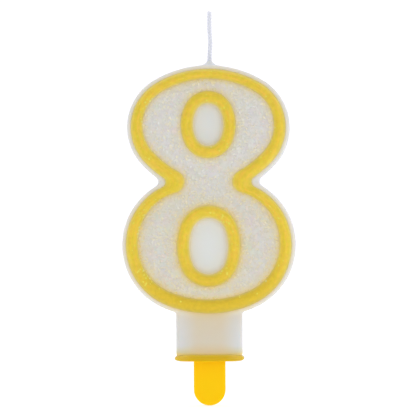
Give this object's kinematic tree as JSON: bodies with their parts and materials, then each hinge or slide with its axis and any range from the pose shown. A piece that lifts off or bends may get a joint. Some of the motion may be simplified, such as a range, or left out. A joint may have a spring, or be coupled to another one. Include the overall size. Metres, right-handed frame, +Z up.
{
  "type": "number birthday candle",
  "caption": "Flat moulded candle in the shape of the digit eight, with a raised coloured outline, a glittered face, a wick at the top and a plastic pick at its foot for a cake.",
  "frame": {"origin": "centre of the plate's underside, where the cake's surface lies, on the peg's axis", "axes": "+Z up along the candle to the wick, +X to the digit's right as seen from its front, and the digit's front faces -Y"},
  "size_m": [0.0454, 0.0106, 0.1027],
  "materials": {
    "white_wax": "satin, translucent paraffin wax",
    "yellow_wax": "glossy coloured wax",
    "glitter_lacquer": "clear glossy lacquer",
    "glitter_film": "iridescent polyester film",
    "wick_cotton": "plaited cotton, waxed",
    "yellow_plastic": "glossy, slightly translucent moulded plastic"
  },
  "bodies": {
    "pick": {"pick": "yellow_plastic"},
    "candle": {"wax_body": "white_wax", "outer_outline": "yellow_wax", "upper_counter_outline": "yellow_wax", "lower_counter_outline": "yellow_wax", "glitter_coat": "glitter_lacquer", "glitter_flakes": "glitter_film", "wick": "wick_cotton"}
  },
  "joints": [
    {"name": "candle_lift", "type": "slide", "parent": "pick", "child": "candle", "axis": [0, 0, 1], "range_m": [0, 0.015]}
  ]
}
